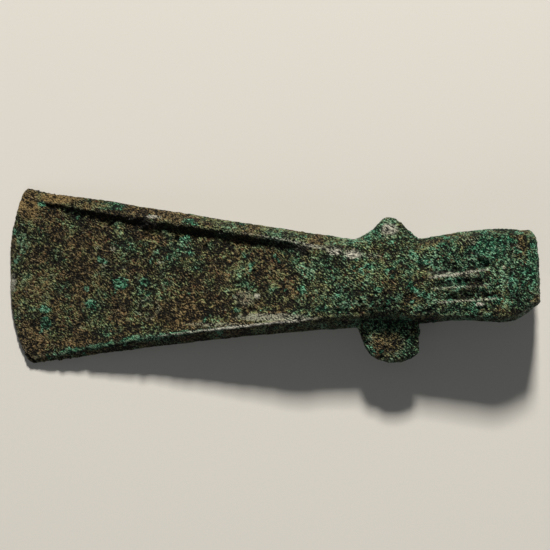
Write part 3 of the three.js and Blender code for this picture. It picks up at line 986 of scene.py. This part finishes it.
def patina():
    """The one material of the skin. The height of the fine relief sets the bump and the tone, which is
    light on its tops and dark in its pits, and the skin's amounts say which finish lies where, and where
    highlight and shade are painted."""
    material = bpy.data.materials.new("patinated_bronze")
    n = Nodes(material)
    g = grain(n)
    height = n.total(n.scaled(g["medium"], 0.46), n.scaled(g["fine"], 0.54), n.scaled(g["crumb"], -0.2, 0.11))
    tone = n.total(
        height,
        n.scaled(g["second_pick"], 0.06),
        n.scaled(g["coarse"], 0.38, 0.5),
        n.scaled(n.amount("bare"), 0.05),
        n.scaled(g["patchy"], 0.3, 0.5),
    )
    colour = ground(n, g, tone, n.ramp(tone, TONES, BROWN))
    colour = crusted(n, g, tone, colour)

    worn = n.maths("MULTIPLY", n.amount("proud"), n.between(tone, 0.38, 0.5, 0.0, 0.55))
    colour = n.mix(worn, colour, shade(*WORN_TOPS))
    scoured = n.broken(n.amount("bare"), g["medium"], 0.3)
    scoured = n.maths("MULTIPLY", scoured, n.between(tone, 0.35, 0.48, 0.0, 0.8))
    colour = n.mix(scoured, colour, shade(*SCOURED))
    # Rubbed metal, lighter and smoother, partly a painted highlight on the neck and along the crests
    polished_and_highlight = n.broken(n.amount("rubbed_and_highlight"), g["medium"], 0.3)
    polished_and_highlight = n.maths("MULTIPLY", polished_and_highlight, n.between(tone, 0.36, 0.48, 0.0, 0.8))
    colour = n.mix(polished_and_highlight, colour, shade(*POLISHED_AND_HIGHLIGHT))
    # Painted highlights: near-white where the highlight amount is high and the tone runs high
    highlight_speckle = n.total(n.scaled(tone, 0.5), n.scaled(g["pick"], 0.1))
    painted_highlight_share = n.maths("MULTIPLY", n.between(n.amount("painted_highlight"), 0.1, 0.9), n.between(highlight_speckle, 0.2, 0.26))
    colour = n.mix(painted_highlight_share, colour, shade(*PAINTED_HIGHLIGHT_COLOUR))
    # Painted shade and painted shadow, and the darkening towards the blade's front, mixed in as near-black
    shade_and_darkening_share = n.between(n.amount("painted_shade_and_darkening"), 0.05, 0.8, 0.0, 0.9)
    colour = n.mix(shade_and_darkening_share, colour, shade(*PAINTED_SHADE_AND_DARKENING))

    rough = n.between(tone, 0.38, 0.52, 0.82, 0.42)
    rough = n.total(rough, n.scaled(polished_and_highlight, -0.15), n.scaled(painted_highlight_share, -0.1))
    n.feed(n.surface.inputs["Base Color"], colour)
    n.feed(n.surface.inputs["Roughness"], rough)
    n.surface.inputs["Metallic"].default_value = 0.0
    n.surface.inputs["Specular IOR Level"].default_value = SHEEN
    bump = n.add("ShaderNodeBump", {"Strength": 1.0, "Distance": BUMP_DISTANCE, "Height": height})
    n.feed(n.surface.inputs["Normal"], bump)
    return material


skin = axe_head()
skin.data.materials.append(patina())
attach(skin, "root")
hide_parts("axe_head")


# ---- The studio ----

FRAME_WIDTH = 0.1856  # what the camera takes in, side to side, at the height of the casting
FOCUS_HEIGHT = 0.012
CAMERA_X = 0.0003
CAMERA_LENS = 200
FLOOR_HALF = 1.5
PAPER = (208, 206, 200)
KEY_LIGHT = {"place": (0.12, 1.7, 1.16), "size": 0.28, "power": 72, "colour": (1, 0.95, 0.88)}
FILL_LIGHT = {"place": (-0.5, -1.3, 0.9), "size": 1.2, "power": 3.5, "colour": (1, 1, 1)}
ROOM_COLOUR = (0.92, 0.96, 1, 1)
ROOM_LIGHT = 0.08


def floor():
    """A flat square of pale paper under the piece."""
    mesh = bpy.data.meshes.new("floor")
    signs = [(-1, -1), (1, -1), (1, 1), (-1, 1)]
    mesh.from_pydata([(x * FLOOR_HALF, y * FLOOR_HALF, 0) for x, y in signs], [], [(0, 1, 2, 3)])
    paper = bpy.data.materials.new("pale_paper")
    n = Nodes(paper)
    n.surface.inputs["Base Color"].default_value = shade(*PAPER)
    n.surface.inputs["Roughness"].default_value = 0.9
    mesh.materials.append(paper)
    sheet = bpy.data.objects.new("floor", mesh)
    bpy.context.scene.collection.objects.link(sheet)


def lamp(name, place, size, power, colour):
    """A square area light at a place, turned to face the origin."""
    data = bpy.data.lights.new(name, "AREA")
    data.shape = "SQUARE"
    data.size = size
    data.energy = power
    data.color = colour
    light = bpy.data.objects.new(name, data)
    light.location = place
    light.rotation_euler = (-Vector(place)).to_track_quat("-Z", "Y").to_euler()
    bpy.context.scene.collection.objects.link(light)


def studio():
    """A pale floor, a soft key light low over the upper long side, a weak fill, and a camera overhead."""
    floor()
    lamp("key", **KEY_LIGHT)
    lamp("fill", **FILL_LIGHT)
    scene = bpy.context.scene
    world = bpy.data.worlds.new("room")
    world.use_nodes = True
    background = world.node_tree.nodes["Background"]
    background.inputs["Color"].default_value = ROOM_COLOUR
    background.inputs["Strength"].default_value = ROOM_LIGHT
    scene.world = world
    scene.view_settings.view_transform = "Standard"

    data = bpy.data.cameras.new("camera")
    data.lens = CAMERA_LENS
    data.clip_start = 0.01
    camera = bpy.data.objects.new("camera", data)
    camera.location = (CAMERA_X, 0, FRAME_WIDTH * data.lens / data.sensor_width + FOCUS_HEIGHT)
    scene.collection.objects.link(camera)
    scene.camera = camera


studio()
